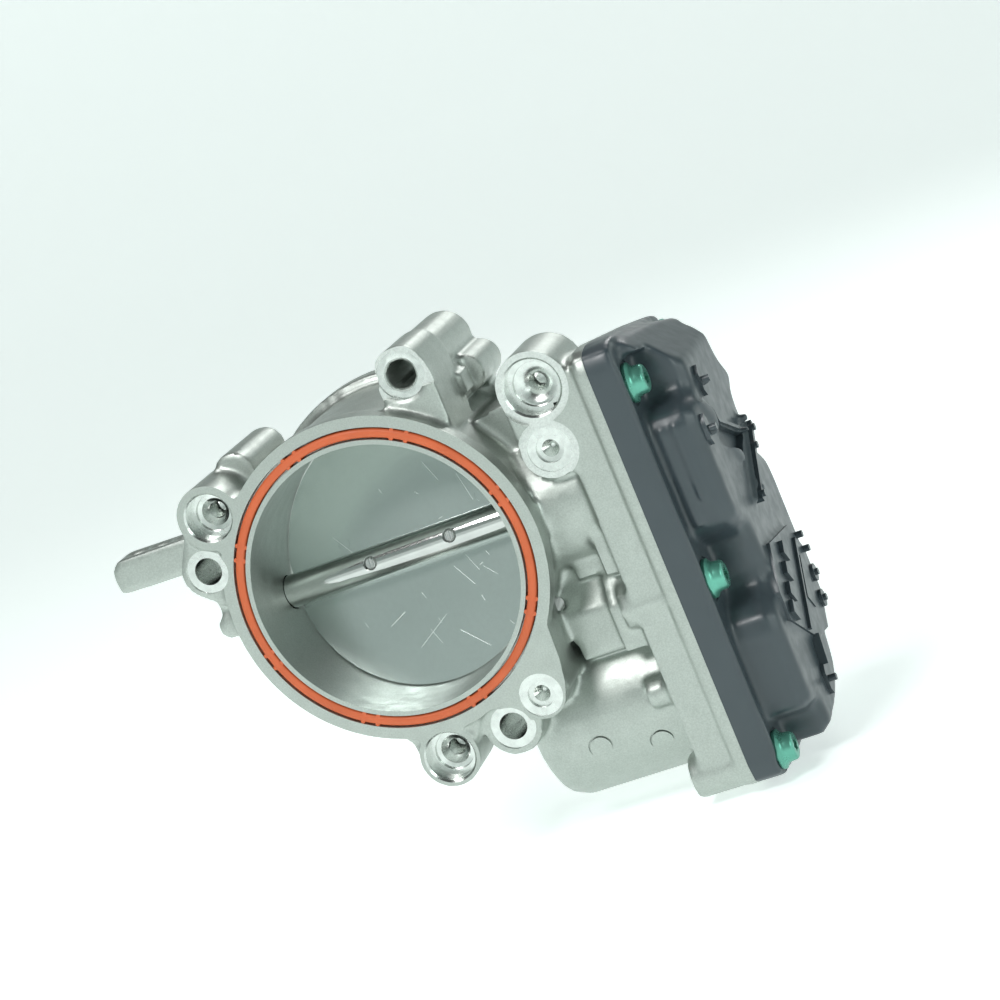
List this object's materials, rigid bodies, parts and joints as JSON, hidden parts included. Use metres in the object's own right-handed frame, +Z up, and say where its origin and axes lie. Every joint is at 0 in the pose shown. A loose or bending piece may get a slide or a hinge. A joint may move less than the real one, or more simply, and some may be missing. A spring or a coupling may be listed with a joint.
{
  "type": "throttle body",
  "caption": "Electronic throttle body: cast housing with a butterfly plate in its bore, a motor below it and a gear train under a plastic side cover.",
  "frame": {"origin": "on the bore axis at the front flange face", "axes": "+X towards the gear cover, +Y back along the bore, +Z up, away from the motor"},
  "size_m": [0.1636, 0.08, 0.1334],
  "materials": {
    "cast_aluminium": "satin die casting, lightly blasted, with bright machined faces",
    "ground_steel": "ground and polished",
    "spring_steel": "dark oiled",
    "silicone": "soft satin silicone",
    "cover_plastic": "satin glass-filled nylon",
    "plated_steel": "green-blue passivated zinc plating",
    "gear_plastic": "natural nylon",
    "black_rubber": "matt",
    "black_plastic": "satin",
    "copper": "drawn copper",
    "brass": "turned brass",
    "board_green": "solder mask",
    "ferrite": "sintered",
    "plate_metal": "rolled sheet, fine scratches"
  },
  "bodies": {
    "root": {"housing": "cast_aluminium", "flange_gasket": "silicone", "bearing_left": "ground_steel", "shaft_seal_left": "black_rubber", "end_plug": "ground_steel", "shaft_seal_right": "black_rubber", "bearing_right": "ground_steel", "return_spring": "spring_steel", "idler_pin": "ground_steel", "wave_washer": "spring_steel", "motor_can": "ground_steel", "magnet_upper": "ferrite", "magnet_lower": "ferrite", "motor_end_plate": "black_plastic", "brush_upper": "copper", "brush_lower": "copper", "motor_screw_1": "ground_steel", "motor_screw_2": "ground_steel", "gear_cover": "cover_plastic", "cover_seal": "black_rubber", "sensor_board": "board_green", "sensor_chip": "black_plastic", "cover_screw_1": "plated_steel", "cover_screw_2": "plated_steel", "cover_screw_3": "plated_steel", "cover_screw_4": "plated_steel", "cover_screw_5": "plated_steel", "cover_screw_6": "plated_steel", "connector_pin_1": "brass", "connector_pin_2": "brass", "connector_pin_3": "brass", "connector_pin_4": "brass", "connector_pin_5": "brass", "connector_pin_6": "brass"},
    "throttle": {"throttle_shaft": "ground_steel", "throttle_plate": "plate_metal", "plate_screw_1": "ground_steel", "plate_screw_2": "ground_steel", "sector_gear": "gear_plastic", "sensor_magnet": "ferrite"},
    "idler": {"idler_gear": "gear_plastic"},
    "rotor": {"armature_shaft": "ground_steel", "armature_core": "spring_steel", "commutator": "copper", "motor_pinion": "brass"}
  },
  "joints": [
    {"name": "throttle_turn", "type": "hinge", "parent": "root", "child": "throttle", "pos_m": [0, 0.024, 0], "axis": [-1, 0, 0], "range_deg": [0, 75], "stiffness_Nm_per_rad": 0.04, "springref_deg": -20.05, "deforming": ["return_spring"]},
    {"name": "idler_turn", "type": "hinge", "parent": "root", "child": "idler", "pos_m": [0, 0.03947, -0.02915], "axis": [-1, 0, 0], "range_deg": [-132, 0]},
    {"name": "rotor_turn", "type": "hinge", "parent": "root", "child": "rotor", "pos_m": [0, 0.031, -0.055], "axis": [-1, 0, 0], "range_deg": [0, 681]}
  ],
  "couplings": [
    {"joint": "idler_turn", "follows": "throttle_turn", "ratio": -1.75},
    {"joint": "rotor_turn", "follows": "throttle_turn", "ratio": 9.0682}
  ]
}
